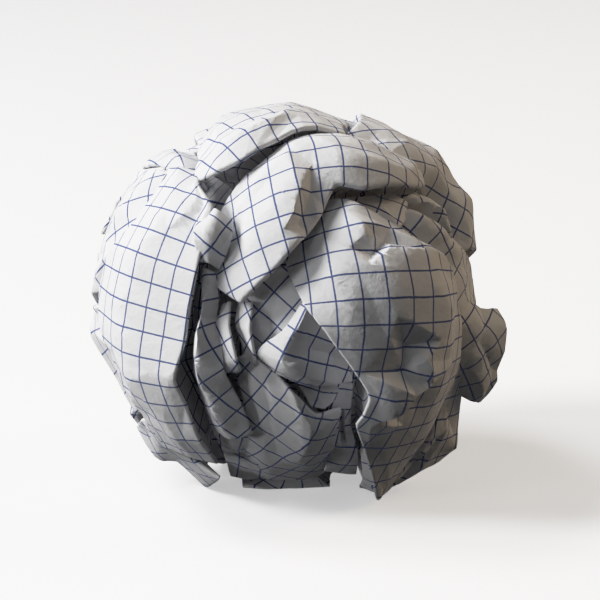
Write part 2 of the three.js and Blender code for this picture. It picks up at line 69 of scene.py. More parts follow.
# The fine surface, in millimetres.
POINT_GAP = 2.6  # between points across a flat place
POINT_STRAY = 0.15  # how far a point strays from its place, in steps of POINT_GAP
POINT_CLEAR = 0.4  # how far a point keeps from creases, in the same steps
RIM_GAP = 1.4  # between points along a panel's edge
RIM_CLEAR = 0.4  # how far other points keep from that edge
CREASE_GAP = 2  # between points along a crease
LOOKUP_GAP = 0.4  # how closely a place on the ball is found again on a panel
CREASE_ROUND = 0.3  # how far to each side of it a crease is rounded
SHORTEST_CREASE = 0.3  # a shorter stretch of crease is left out
SHARP = 60  # degrees from which an edge is a cut one and isn't rounded
LIP_ANGLES = (40, 80, 120, 150, 180)  # degrees turned by the paper at each step round a fold edge
BROAD_CREASES = (11, 1.2)  # width of the flat places between creases, and their height
FINE_CREASES = (5.8, 0.36)
CREASE_RISE = 1.9  # how far a listed crease of lift 1 rises above the smooth sheet
QUIET = 0.3  # how high random broad creases are on a panel that has creases of its own
NET_STRAY = 0.42  # how far a random crease's end strays, in steps of the net
NET_CLEAR = 0.4  # how far it keeps from the listed creases, in the same steps
SPRING_ROUNDS, SPRING_SHARE = 600, 0.9  # how often the springs pull, and how far each time

# The paper and its print.
SQUARE = 5  # mm from one printed line to the next
LINE_WIDTH = 0.36
INK = (0.012, 0.04, 0.2, 1)
INK_THIN = 0.82  # how dark the ink still is where the paper takes it worst
LINE_SOFT = 0.03  # how far a line's edge wanders and how soft it is
PAPER_LIGHT = (0.81, 0.81, 0.82, 1)
PAPER_DARK = (0.755, 0.755, 0.76, 1)
# What varies over the paper: waves a millimetre, and how many finer sets of waves lie on them.
EDGE_WANDER, TOOTH, MOTTLE, SHEEN, FIBRES, COCKLE = (3, 3), (9, 4), (0.35, 5), (1.5, 4), (3, 6), (0.7, 4)
MATT = (0.8, 0.92)  # how rough the paper is where it is smoothest and where it is roughest
FIBRE_STRETCH = (1, 0.35, 1)  # fibres lie mostly one way in a machine-made sheet
FIBRE_HEIGHT, COCKLE_HEIGHT, BUMP = 0.035, 0.12, 0.5  # millimetres, and how strongly both show

# Light and camera.
FLOOR_WHITE = (0.92, 0.92, 0.92)
FLOOR_GLOW = 0.5  # how much the pale floor is lit from within, to stay near white under a low key light
HIGHEST_LIGHT = 2  # the brightest light shown, as white; from SHOULDER on, brighter light is held back more
SHOULDER = ((0.25, 0.25), (0.55, 0.54), (0.85, 0.75), (1.25, 0.89))
SKY_FADE = (-0.2, 0.8)  # heights on the unit sphere between which the sky brightens
SKY_LOW, SKY_HIGH = 0.01, 0.09
SKY_COLOUR = (0.95, 0.97, 1, 1)
# Each lamp's bearing and elevation from the ball, distance and width in metres, watts and colour.
LAMPS = {
    "key": (-80, 32, 1.2, 0.35, 15, (1, 0.99, 0.98)),
    "high_back": (-110, 55, 1.2, 0.4, 7, (0.98, 0.99, 1)),
    "card": (-60, 4, 0.8, 0.15, 1.2, (0.97, 0.98, 1)),
    "front": (-30, 42, 1.2, 0.5, 0.9, (0.97, 0.98, 1)),
    "warm_back": (105, 30, 1.2, 0.5, 3.6, (1, 0.75, 0.48)),
}
CAMERA_ELEVATION = 15
CAMERA_DISTANCE = 0.6  # metres from the ball's middle
CAMERA_ASIDE, CAMERA_LOWER = 0.00264, 0.00044  # metres to the right of the middle, and below it
LENS, SENSOR_WIDTH = 163.8, 36  # millimetres

# Fold corners are [bearing, elevation, distance]: degrees round the ball from its front towards its right,
# degrees above its middle, and millimetres from its middle. A panel is a list of rows of fold corners.
PANELS = {
    # The tall panel down the left, from its top edge to its tip at the foot.
    "left_wing": [
        [[-61, 48, 43], [-52, 49, 44], [-44, 50, 43]],
        [[-58, 42, 43], [-46, 43, 45], [-35, 44, 45]],
        [[-58, 35, 43], [-42, 37, 46], [-26, 38, 45]],
        [[-60, 27, 44], [-43, 28, 46], [-26, 27, 45.5]],
        [[-65, 20, 44], [-46, 20, 46.5], [-26, 20, 46]],
        [[-67, 9, 44], [-48, 9, 46.5], [-27, 11, 46]],
        [[-62, 0, 45], [-46, 0, 46.5], [-28, 1, 46]],
        [[-57, -7, 45], [-44, -9, 46.5], [-30, -8, 46.5]],
        [[-53, -17, 44], [-41, -17, 45.5], [-29, -17, 45.5]],
        [[-51, -28, 44], [-39, -29, 45], [-28, -29, 45]],
        [[-49, -38, 44], [-38, -39, 44], [-27, -40, 44]],
    ],
    # Its crumpled right-hand corner.
    "wing_corner": [
        [[-27, 38, 45], [-23, 37, 46], [-19, 36, 43.5]],
        [[-28, 32, 46], [-23, 33, 47], [-18, 32, 44]],
        [[-27, 28, 46], [-23, 28, 46], [-19, 27, 43]],
        [[-26, 24, 44], [-24, 24, 44], [-22, 23, 41]],
    ],
    # Behind that panel, on the left of the ball: each row runs from front to back.
    "left_back": [
        [[-62, 50, 41], [-75, 46, 42.5], [-100, 38, 43.5]],
        [[-60, 42, 40], [-74, 38, 43], [-98, 31, 42.5]],
        [[-60, 34, 40], [-76, 30, 43], [-95, 22, 42]],
        [[-64, 25, 40], [-78, 21, 43], [-93, 12, 42.5]],
        [[-70, 17, 41], [-80, 13, 43], [-92, 5, 41.5]],
        [[-71, 8, 40], [-82, 4, 42.5], [-90, -2, 41.5]],
    ],
    "left_top_curl": [
        [[-62, 48, 42], [-52, 50, 42.5], [-44, 50, 40]],
        [[-72, 48, 43], [-64, 53, 43], [-52, 56, 39.5]],
        [[-98, 42, 42.5], [-106, 49, 41.5], [-90, 56, 38.5]],
    ],
    "left_under": [
        [[-66, 2, 42], [-78, 0, 43], [-88, -3, 42]],
        [[-60, -5, 38], [-70, -8, 40], [-87, -11, 43.5]],
        [[-57, -12, 38], [-66, -15, 39.5], [-85, -19, 42]],
        [[-54, -19, 40], [-64, -22, 41], [-82, -30, 41.5]],
        [[-53, -27, 42], [-64, -29, 42], [-79, -36, 42.5]],
    ],
    "left_foot": [
        [[-51, -28, 43.5], [-60, -32, 43], [-77, -39, 43]],
        [[-50, -37, 44], [-58, -41, 44], [-73, -48, 45.5]],
        [[-42, -44, 43.5], [-52, -49, 44], [-68, -54, 44.5]],
        [[-31, -49, 44], [-42, -56, 44.5], [-59, -62, 45]],
    ],
    # Over the top, left to right: each row runs from the front lip to the back.
    "crown": [
        [[-41, 47, 42.5], [-46, 53, 42.5], [-62, 58, 41], [-105, 60, 39]],
        [[-29, 49, 45], [-36, 58, 45], [-62, 66, 44], [-123, 65, 42]],
        [[-20, 53, 45.5], [-26, 64, 46], [-55, 74, 44.5], [-132, 68, 42.5]],
        [[-11, 59, 46], [-14, 69, 46], [-35, 81, 44], [178, 75, 43]],
        [[1, 64, 46], [1, 74, 45], [20, 86, 43.5], [160, 74, 42.5]],
        [[19, 67, 45], [26, 74, 44], [60, 80, 42.5], [142, 71, 41.5]],
        [[40, 65, 44], [50, 70, 43], [75, 72, 42], [128, 66, 41]],
    ],
    # The band under the crown, from its low left end to its right end: each row runs down to its fold edge.
    "brow": [
        [[-31, 22, 38], [-26, 20, 40], [-20, 17, 41.5], [-14, 14, 42.5]],
        [[-29, 35, 39], [-22, 31, 42], [-15, 25, 43.5], [-8, 20, 44.5]],
        [[-26, 44, 41], [-19, 40, 43.5], [-11, 33, 44.5], [-2, 25, 45]],
        [[-19, 51, 42], [-12, 47, 44.5], [-4, 40, 45.5], [4, 31, 45]],
        [[-11, 57, 43], [-4, 54, 45.5], [4, 47, 46], [11, 38, 45]],
        [[1, 62, 44], [7, 58, 45.5], [13, 52, 46], [18, 46, 45]],
        [[18, 65, 44], [22, 60, 45.5], [26, 52, 46], [28, 44, 45]],
        [[36, 64, 44], [38, 59, 45.5], [39, 51, 45.5], [40, 44, 45]],
        [[55, 60, 43.5], [54, 54, 44.5], [53, 48, 44.5], [52, 43, 44]],
        [[75, 54, 42], [72, 49, 43], [69, 45, 43], [66, 42, 42.5]],
    ],
    # The crest behind it, down the right: each row runs from front to back.
    "back_crest": [
        [[48, 67, 42], [75, 68, 43.5], [123, 64, 43.5], [150, 55, 41]],
        [[64, 58, 43], [82, 59, 44.5], [116, 58, 44.5], [140, 48, 41.5]],
        [[66, 50, 42.5], [82, 51, 45], [108, 49, 45.5], [130, 40, 42]],
        [[72, 44, 41.5], [84, 43, 45], [104, 43, 46.5], [122, 34, 42]],
        [[80, 37, 38], [88, 35, 43.5], [100, 34, 45], [115, 26, 42]],
        [[82, 28, 36], [88, 27, 43], [98, 27, 46], [112, 18, 41.5]],
        [[80, 18, 36], [87, 17, 42], [94, 14, 42.5], [106, 8, 41]],
    ],
    # The big panel on the front right, with its left edge first in each row.
    "main": [
        [[8, 38, 39], [16, 44, 41], [23, 42, 43], [29, 38, 44], [35, 34, 44.5]],
        [[0, 26, 38.5], [12, 32, 42], [24, 32, 45], [36, 30, 45.5], [44, 27, 44.5]],
        [[3, 18, 41], [14, 21, 45], [27, 22, 46], [40, 22, 46], [51, 21, 44]],
        [[6, 12, 43.5], [17, 13, 46], [29, 13, 46.5], [43, 13, 46], [57, 12, 43]],
        [[11, 5, 45], [20, 4, 46], [31, 3, 46.5], [45, 2, 46], [59, 1, 43]],
        [[18, -5, 46], [26, -5, 47], [35, -6, 47], [47, -8, 45.5], [60, -10, 43]],
        [[22, -12, 46.5], [29, -14, 47], [38, -16, 45.5], [49, -18, 44.5], [62, -19, 42.5]],
        [[20, -21, 45.5], [29, -23, 45.5], [39, -25, 44.5], [51, -27, 44], [65, -27, 42]],
        [[25, -31, 45], [33, -33, 45], [43, -34, 44.5], [54, -35, 44], [64, -36, 43]],
        [[32, -42, 46], [38, -43, 45.5], [45, -44, 45.5], [53, -44, 45], [60, -45, 44]],
        [[42, -53, 49], [44, -53, 48.5], [47, -53, 48], [50, -52, 47.5], [54, -51, 46.5]],
    ],
    # Deeper folds that show in the hollow between the brow, the big panel and the belly.
    "hollow": [
        [[-15, 16, 37.5], [-9, 20, 38], [-2, 24, 38.5], [5, 24, 39]],
        [[-14, 9, 37], [-8, 12, 38], [0, 13, 39], [7, 12, 39.5]],
        [[-13, 2, 37], [-7, 3, 38], [-1, 4, 39], [4, 4, 39.5]],
        [[-12, -5, 37], [-7, -4, 37.5], [-2, -4, 38.5], [3, -4, 39]],
    ],
    "middle_flap": [
        [[5, 14, 41.5], [7, 14, 42], [10, 13, 40.5]],
        [[0, 6, 40.5], [5, 6, 41.5], [13, 4, 40]],
        [[-6, 1, 39.5], [2, -1, 41.5], [17, -3, 39.5]],
        [[-9, -2, 39], [2, -6, 41.5], [20, -9, 39]],
        [[-3, -8, 39.5], [6, -11, 40.5], [21, -13, 38.5]],
    ],
    "step_high": [
        [[1, -10, 38], [8, -12, 38.5], [16, -13, 38]],
        [[4, -14, 38.5], [10, -16, 39.5], [17, -16, 39]],
        [[8, -20, 39.5], [12, -21, 40], [17, -20, 38.5]],
    ],
    "step_low": [
        [[16, -14, 37.5], [22, -16, 37.5]],
        [[16, -24, 38], [23, -25, 37.5]],
        [[17, -33, 38.5], [26, -33, 37]],
        [[18, -40, 39], [29, -41, 39.5]],
        [[20, -53, 40], [35, -53, 42]],
    ],
    # The low panel in front, left to right: each row runs down from its upper fold edge.
    "belly": [
        [[-17, -6, 38.5], [-15, -16, 39], [-14, -28, 40], [-18, -42, 39.5], [-28, -56, 39]],
        [[-12, -3, 40], [-10, -14, 40.5], [-9, -28, 41], [-10, -44, 41], [-14, -62, 40.5]],
        [[-7, -6, 40.5], [-5, -16, 41.5], [-4, -29, 41.5], [-4, -44, 41], [-6, -62, 40.5]],
        [[-2, -10, 40.5], [0, -20, 41.5], [1, -31, 41.5], [1, -44, 41], [2, -62, 40.5]],
        [[3, -15, 41], [5, -24, 41.5], [6, -33, 41.5], [6, -45, 41], [9, -62, 40.5]],
        [[9, -22, 41], [10, -29, 41], [11, -36, 40.5], [12, -46, 40.5], [18, -61, 40]],
        [[17, -22, 39.5], [17, -30, 39.5], [18, -37, 39.5], [20, -45, 39], [30, -56, 38.5]],
    ],
    # Narrow pleats between the tall left panel and the hollow.
    "left_pleat": [
        [[-26, 22, 41], [-24, 21, 42], [-22, 20, 40]],
        [[-26, 12, 40], [-24, 12, 43.5], [-21, 11, 40.5]],
        [[-28, 3, 41], [-24, 3, 46], [-20, 1, 41.5]],
        [[-29, -8, 41], [-24, -8, 46], [-18, -7, 43]],
        [[-28, -18, 41], [-21, -18, 45], [-14, -18, 42]],
        [[-27, -28, 41], [-19, -29, 43.5], [-12, -28, 42]],
    ],
    "inner_pleat_left": [
        [[-21, 12, 38.5], [-18, 12, 38.5]],
        [[-21, 7, 39.5], [-17, 6, 41]],
        [[-20, 2, 40.5], [-15, 1, 42.5]],
        [[-19, -3, 41], [-14, -3, 43]],
        [[-18, -7, 41], [-14, -7, 41]],
    ],
    "inner_pleat_right": [
        [[-16, 13, 38], [-12, 13, 40]],
        [[-16, 7, 38.5], [-11, 6, 41]],
        [[-14, 1, 39], [-10, 0, 41]],
        [[-13, -4, 39], [-10, -5, 40.5]],
    ],
    "low_crumple": [
        [[-28, -31, 39], [-21, -31, 40.5], [-14, -32, 40.5]],
        [[-29, -38, 40], [-21, -38, 41.5], [-14, -38, 40.5]],
        [[-30, -46, 41], [-22, -46, 41], [-14, -46, 40.5]],
        [[-34, -58, 42], [-24, -59, 41.5], [-14, -60, 41]],
    ],
    # Folds in the deep crevice at the upper right.
    "recess_fold": [
        [[20, 47, 38], [36, 46, 39.5], [54, 45, 39.5]],
        [[27, 42, 38.5], [40, 41, 41], [54, 40, 41]],
        [[38, 34, 38.5], [43, 33, 41], [49, 35, 40.5]],
    ],
    "recess_band": [
        [[46, 36, 39], [52, 37, 40.5], [58, 36, 39.5]],
        [[48, 31, 39.5], [54, 33, 42], [60, 32, 40]],
        [[52, 26, 40], [60, 27, 42], [68, 26, 41]],
        [[56, 20, 40.5], [66, 20, 42], [80, 17, 41]],
        [[59, 13, 40.5], [70, 12, 41.5], [94, 8, 41]],
        [[60, 6, 40.5], [70, 4, 41.5], [90, -1, 41]],
        [[61, -3, 40], [70, -4, 40.5], [88, -6, 40]],
    ],
    "recess_curl": [
        [[50, 41, 38.5], [58, 41, 40.5], [66, 41, 39]],
        [[54, 38, 38.5], [62, 37, 42], [70, 37, 40]],
        [[60, 33, 38], [68, 32, 42.5], [75, 32, 40]],
        [[66, 27, 38], [72, 26, 41], [79, 26, 39]],
    ],
    # The sheet's torn corner, which sticks out at the right.
    "right_tab": [
        [[64, 6, 39], [72, 3, 42], [78, 0, 44.5], [82, -1, 46]],
        [[64, -2, 39.5], [70, -4, 44], [75, -5, 46.5], [80, -5, 48]],
        [[65, -10, 39.5], [69, -11, 44], [74, -12, 47], [80, -14, 48.5]],
        [[66, -17, 38.5], [71, -18, 43.5], [76, -19, 47], [81, -20, 49.5]],
        [[67, -24, 38], [72, -25, 42], [77, -26, 45.5], [82, -27, 47.5]],
    ],
    "right_lower": [
        [[62, -12, 40.5], [69, -17, 41.5], [77, -24, 43]],
        [[64, -24, 42], [70, -29, 44], [78, -35, 47]],
        [[63, -34, 43.5], [69, -38, 46], [77, -40, 50]],
        [[58, -43, 45], [63, -46, 47], [73, -46, 48.5]],
        [[50, -51, 47], [54, -53, 47.5], [62, -54, 47]],
    ],
    "right_foot": [
        [[28, -38, 42], [33, -42, 44], [39, -46, 45]],
        [[34, -50, 45], [40, -53, 48], [45, -54, 49]],
        [[50, -62, 44], [54, -62, 44.5], [58, -60, 45]],
    ],
    # The pressed place the ball stands on: the resting surface flattens it.
    "sole": [
        [[-40, -70, 43.3], [0, -72, 42.8], [40, -70, 43.3]],
        [[-95, -76, 42], [180, -89, 41.5], [95, -76, 42]],
        [[-140, -68, 43.8], [180, -67, 44], [140, -68, 43.8]],
    ],
}

# Deep crevices between folds: rows of the two lips that face each other, each by its bearing and elevation.
CREVICES = {
    # Between the big panel's upper right edge and the folds behind it.
    "above_main": [
        [[22, 43], [26, 43]],
        [[29, 37], [34, 39]],
        [[36, 32], [42, 34]],
        [[43, 28], [48, 30]],
        [[49, 23], [52, 24]],
        [[54, 18], [56, 19]],
    ],
    # Down the right-hand edge of the tall left panel.
    "beside_wing": [
        [[-26, 14], [-25, 14]],
        [[-27, 4], [-26, 4]],
        [[-29, -6], [-28, -6]],
        [[-28, -16], [-27, -17]],
        [[-27, -25], [-25, -26]],
    ],
    # Along the back of the tall left panel.
    "behind_wing": [
        [[-60, 47], [-58, 46]],
        [[-60, 40], [-57, 40]],
        [[-61, 32], [-57, 31]],
        [[-63, 26], [-60, 25]],
        [[-69, 19], [-66, 18]],
    ],
    # Under the back crest, behind the curled folds.
    "behind_curls": [
        [[64, 41], [72, 41]],
        [[70, 35], [78, 35]],
        [[75, 29], [82, 28]],
        [[75, 21], [82, 18]],
    ],
    "between_folds": [
        [[52, 38], [54, 39]],
        [[56, 34], [62, 37]],
        [[63, 29], [66, 31]],
    ],
    # Left of the big panel's foot.
    "beside_foot": [
        [[18, -26], [21, -25]],
        [[18, -33], [23, -33]],
        [[21, -40], [25, -40]],
    ],
}

# The creases that stand out, as lines of [bearing, elevation, lift]: degrees as above, and how far the sheet
# rises above its smooth form, in steps of CREASE_RISE. Ridges are above it and valleys are below.
CREASES = {
    "main": [
        [[21, 38, 0.6], [24, 33, 0.8], [24, 30, 0.9], [19, 27, 0.7], [13, 24, 0.5]],
        [[34, 32, -0.3], [30, 28, -0.5], [25, 25, -0.5]],
        [[43, 23, 1.1], [38, 18, 1.5], [32, 14, 1.5], [28, 9, 1.4], [26, 4, 1]],
        [[30, 26, 0.9], [23, 22, 1], [20, 19, 0.8]],
        [[10, 8, 0.6], [16, 7, 0.9], [24, 7, 0.9], [27, 2, 0.8]],
        [[33, 0, -0.9], [32, -6, -0.8]],
        [[46, 7, 1.3], [41, 1, 1.3], [36, -4, 1.4], [38, -9, 1.7], [33, -12, 1.7], [29, -16, 1.6],
         [24, -19, 1.2]],
        [[29, -18, -0.5], [36, -18, -0.7], [41, -14, -0.4]],
        [[50, 15, 0.7], [50, 8, 0.7]],
    ],
    "middle_flap": [
        [[6, 12, 0.5], [2, 4, 1], [0, -3, 1.2], [-1, -7, 0.5]],
        [[7, -1, -0.8], [14, -3, -0.9], [19, -6, -0.5]],
    ],
    "belly": [
        [[3, -17, 0.6], [7, -25, 1], [6, -33, 0.8], [4, -40, 0.4]],
        [[-7, -12, -0.5], [-6, -25, -0.6], [-4, -38, -0.4]],
    ],
    "left_wing": [
        [[-53, 35, 0.4], [-54, 20, 0.5], [-52, 5, 0.5], [-51, -5, 0.6]],
        [[-31, -8, 0.8], [-37, -7, 0.9], [-45, -11, 1], [-49, -18, 0.7]],
        [[-42, -20, 0.5], [-37, -22, 0.7], [-32, -24, 0.3]],
        [[-38, 30, 0.4], [-35, 33, 0.9], [-30, 32, 0.4], [-27, 31, 0.9]],
    ],
    "brow": [
        [[14, 62, 0.5], [22, 57, 0.8], [28, 53, 0.9]],
        [[21, 49, 0.7], [30, 50, 0.9], [43, 49, 0.9], [56, 46, 0.5]],
        [[4, 44, 0.8], [2, 38, 1], [-1, 33, 0.8]],
        [[9, 44, -0.5], [7, 40, -0.6], [4, 35, -0.4]],
        [[-22, 42, -0.5], [-18, 35, -0.7], [-15, 27, -0.5]],
    ],
    "crown": [
        [[-38, 52, 0.6], [-30, 58, 0.9], [-20, 64, 0.9], [-5, 70, 0.8], [10, 72, 0.6]],
        [[-50, 62, -0.4], [-40, 68, -0.5], [-25, 74, -0.4]],
    ],
}

# Plain flaps cover the back: [bearing, elevation, width, height, turn, distance at the tucked top edge,
# distance at the loose bottom edge], with the turn in degrees about the way it faces.
FLAPS = {
    "top_back": [195, 66, 44, 34, 15, 40, 44],
    "back_high_left": [224, 36, 38, 46, -25, 39, 44.5],
    "back_high": [178, 36, 52, 42, 12, 39.5, 45],
    "back_high_right": [137, 30, 40, 48, -18, 39, 44.5],
    "back_middle_left": [238, -4, 46, 50, 20, 38.5, 44],
    "back_middle": [195, -6, 42, 48, -10, 38.5, 45],
    "back_middle_right": [148, -8, 50, 44, 32, 38.5, 44.5],
    "right_back": [108, -6, 40, 46, -14, 39, 43],
    "back_low_left": [246, -42, 44, 36, -35, 39, 43.5],
    "back_low": [200, -40, 48, 34, 15, 39, 43.5],
    "back_low_right": [150, -42, 46, 36, -20, 39, 43],
    "right_back_low": [106, -42, 44, 36, 25, 40, 45],
}

# How each panel looks: the printed grid's turn in degrees, the bearing and elevation of a place where two
# printed lines cross, how crumpled the panel is, and its fold radius in mm.
MIDDLE = None  # lines cross at the panel's own middle
LOOKS = {
    "left_wing": (5, (-32, 21), 0.5, 0.5),
    "wing_corner": (20, MIDDLE, 1.4, 0.4),
    "left_back": (20, MIDDLE, 1, 0.6),
    "left_top_curl": (35, MIDDLE, 1.3, 0.6),
    "left_under": (10, (-57, -11), 1.3, 0.6),
    "left_foot": (-25, (-60, -40), 1.3, 0.5),
    "crown": (-30, (-28, 56), 0.9, 0.6),
    "brow": (-30, (35, 54), 0.8, 0.8),
    "back_crest": (40, (92, 46), 0.9, 0.6),
    "main": (0, (20, 20), 0.9, 0.45),
    "hollow": (-45, (-3, 6), 0.6, 0.5),
    "middle_flap": (15, (6, -3), 0.7, 0.45),
    "step_high": (10, MIDDLE, 1.2, 0.5),
    "step_low": (15, MIDDLE, 1, 0.5),
    "belly": (-35, (-8, -12), 0.6, 0.6),
    "left_pleat": (-25, (-23, -9), 0.9, 0.5),
    "inner_pleat_left": (40, MIDDLE, 1.2, 0.4),
    "inner_pleat_right": (30, MIDDLE, 0.8, 0.4),
    "low_crumple": (20, MIDDLE, 1.8, 0.4),
    "recess_fold": (40, (38, 40), 0.9, 0.45),
    "recess_band": (-30, (50, 23), 1.1, 0.45),
    "recess_curl": (25, MIDDLE, 1, 0.6),
    "right_tab": (40, MIDDLE, 1.6, 0.35),
    "right_lower": (55, MIDDLE, 1.2, 0.5),
    "right_foot": (25, MIDDLE, 1, 0.4),
    "sole": (12, MIDDLE, 1, 0.5),
}
FLAP_LOOK = (31, MIDDLE, 1.1, 0.55)
FLAP_GRID_STEP = 47  # degrees that the print turns from one plain flap to the next


def corner(place):
    """A fold corner's point, in mm from the ball's middle."""
    turn, rise = math.radians(place[0]), math.radians(place[1])
    outward = (math.sin(turn) * math.cos(rise), -math.cos(turn) * math.cos(rise), math.sin(rise))
    return np.array(outward) * place[2]


def stray(key):
    """A repeatable number from -1 to 1 for each key."""
    wave = math.sin(key * 12.9898) * 43758.5453
    return 2 * (wave - math.floor(wave)) - 1


def turned(points, axis, degrees):
    c, s = math.cos(math.radians(degrees)), math.sin(math.radians(degrees))
    i, j = [(1, 2), (2, 0), (0, 1)][axis]
    out = points.copy()
    out[..., i] = c * points[..., i] - s * points[..., j]
    out[..., j] = s * points[..., i] + c * points[..., j]
    return out


def flap_rows(flap, key):
    """A plain flap's rows of fold corners: a ragged rectangle laid on the ball, its top edge tucked in."""
    bearing, elevation, width, height, turn, tucked, loose = flap
    rows = np.zeros((FLAP_CORNERS, FLAP_CORNERS, 3))
    for i in range(FLAP_CORNERS):
        for j in range(FLAP_CORNERS):
            down = i / (FLAP_CORNERS - 1)
            across = j / (FLAP_CORNERS - 1) - 0.5
            seed = 100 * key + 10 * i + j
            point = np.array([across * width + FLAP_RAGGED * stray(seed), -loose,
                              (0.5 - down) * height + FLAP_RAGGED * stray(seed + 0.3)])
            distance = tucked + (loose - tucked) * down + FLAP_UNEVEN * stray(seed + 0.6)
            rows[i, j] = point * distance / np.linalg.norm(point)
    return turned(turned(turned(rows, 1, turn), 0, -elevation), 2, bearing)


def corner_shares(places, count):
    """How much each fold corner counts at each place along a row: partly straight, partly a soft curve."""
    shares = np.zeros((len(places), count))
    for row, place in zip(shares, places):
        i = min(int(place), count - 2)
        t = place - i
        row[i] += STRAIGHTNESS * (1 - t)
        row[i + 1] += STRAIGHTNESS * t
        soft = [-.5*t**3 + t**2 - .5*t, 1.5*t**3 - 2.5*t**2 + 1, -1.5*t**3 + 2*t**2 + .5*t, .5*t**3 - .5*t**2]
        for j, share in zip(range(i - 1, i + 3), soft):
            share *= 1 - STRAIGHTNESS
            if j < 0:
                row[0] += 2 * share
                row[1] -= share
            elif j >= count:
                row[-1] += 2 * share
                row[-2] -= share
            else:
                row[j] += share
    return shares


def unit(vectors):
    return vectors / (np.linalg.norm(vectors, axis=-1, keepdims=True) + 1e-12)


def spun(flat, degrees):
    c, s = math.cos(math.radians(degrees)), math.sin(math.radians(degrees))
    return flat @ np.array([[c, s], [-s, c]])


def flattened(rows):
    """Flat sheet coordinates in mm of the fold corners: springs settle until lengths match the ball's."""
    high, wide = rows.shape[:2]
    index = np.arange(high * wide).reshape(high, wide)
    links = [(index[:, :-1], index[:, 1:], 1), (index[:-1], index[1:], 1),
             (index[:-1, :-1], index[1:, 1:], 1), (index[:-1, 1:], index[1:, :-1], 1),
             (index[:, :-2], index[:, 2:], 0.3), (index[:-2], index[2:], 0.3)]
    a = np.concatenate([link[0].ravel() for link in links])
    b = np.concatenate([link[1].ravel() for link in links])
    stiffness = np.concatenate([np.full(link[0].size, link[2], float) for link in links])
    solid = rows.reshape(-1, 3)
    lengths = np.linalg.norm(solid[a] - solid[b], axis=1)
    across, down = np.zeros((high, wide)), np.zeros((high, wide))
    across[:, 1:] = np.cumsum(np.linalg.norm(np.diff(rows, axis=1), axis=2), axis=1)
    across -= across.mean(axis=1, keepdims=True)
    down[1:] = -np.cumsum(np.linalg.norm(np.diff(rows, axis=0), axis=2).mean(axis=1))[:, None]
    flat = np.stack([across.ravel(), down.ravel()], 1)
    held = np.zeros(len(flat))
    np.add.at(held, a, stiffness)
    np.add.at(held, b, stiffness)
    for _ in range(SPRING_ROUNDS):
        apart = flat[a] - flat[b]
        now = np.linalg.norm(apart, axis=1) + 1e-9
        pull = apart * ((now - lengths) / now * stiffness)[:, None]
        move = np.zeros_like(flat)
        np.add.at(move, a, -pull)
        np.add.at(move, b, pull)
        flat += SPRING_SHARE * move / held[:, None]
    flat = flat.reshape(high, wide, 2)
    middle = flat[high // 2]
    tilt = math.atan2(*(middle[-1] - middle[0])[::-1])
    return spun(flat - middle.mean(0), -math.degrees(tilt))


class Panel:
    """A panel's smooth sheet, sampled by q: millimetres down and across it."""

    def __init__(self, rows, grid_turn, crossing):
        self.rows = rows
        self.flat = spun(flattened(rows), grid_turn)
        self.marks = []
        for gaps in (np.linalg.norm(np.diff(rows, axis=0), axis=2).mean(1),
                     np.linalg.norm(np.diff(rows, axis=1), axis=2).mean(0)):
            self.marks.append(np.concatenate([[0], np.cumsum(gaps)]))
        self.size = np.array([mark[-1] for mark in self.marks])
        if crossing:
            self.flat = self.flat - self.sheet(self.nearest([crossing]))

    def sample(self, q, values):
        shares = []
        for k in (0, 1):
            place = np.interp(q[:, k], self.marks[k], np.arange(len(self.marks[k])))
            shares.append(corner_shares(place, len(self.marks[k])))
        return np.einsum("ai,aj,ijk->ak", *shares, values)

    def points(self, q):
        return self.sample(q, self.rows)

    def sheet(self, q):
        return self.sample(q, self.flat)

    def nearest(self, places):
        """The q of each place given by its bearing and elevation."""
        lattice = [np.linspace(0, length, round(length / LOOKUP_GAP) + 2) for length in self.size]
        q = np.stack(np.meshgrid(*lattice, indexing="ij"), -1).reshape(-1, 2)
        wanted = np.array([corner((place[0], place[1], 1)) for place in places])
        return q[(wanted @ unit(self.points(q)).T).argmax(1)]

    def normals(self, q):
        step = 0.6
        ends = []
        for k in (0, 1):
            ahead, behind = q.copy(), q.copy()
            ahead[:, k] = np.minimum(q[:, k] + step, self.size[k])
            behind[:, k] = np.maximum(q[:, k] - step, 0)
            ends.append(self.points(ahead) - self.points(behind))
        across = unit(np.cross(ends[1], ends[0]))
        outward = np.sign((across * self.points(q)).sum())
        return across * outward


def crease_net(panel, width, height, lines, rng):
    """Corners, triangles and corner heights of a crease net: the given lines, and random ones round them."""
    counts = np.ceil(panel.size / width).astype(int) + 3
    grid = np.stack(np.meshgrid(*[np.arange(n) - 1.0 for n in counts], indexing="ij"), -1)
    grid += rng.uniform(-NET_STRAY, NET_STRAY, grid.shape)
    spread = grid.reshape(-1, 2) * panel.size / (counts - 3)
    spread_heights = rng.uniform(-1, 1, len(spread)) * height
    corners, heights, edges, taken = [], [], [], []
    for line in lines:
        places = panel.nearest(line)
        edges += [(len(corners) + k, len(corners) + k + 1) for k in range(len(line) - 1)]
        corners += list(places)
        heights += [place[2] * CREASE_RISE for place in line]
        for a, b in zip(places, places[1:]):
            taken += line_points(a, b, 1)
    for place, lift in zip(spread, spread_heights):
        if not taken or np.linalg.norm(np.array(taken) - place, axis=1).min() > NET_CLEAR * width:
            corners.append(place)
            heights.append(lift)
    found = geometry.delaunay_2d_cdt([Vector(c) for c in corners], edges, [], 0, 1e-3)
    net_heights = np.array([np.mean([heights[k] for k in source]) if source else 0 for source in found[3]])
    triangles = [t for t in found[2] if len(t) == 3]
    return np.array([tuple(v) for v in found[0]]), np.array(triangles), net_heights


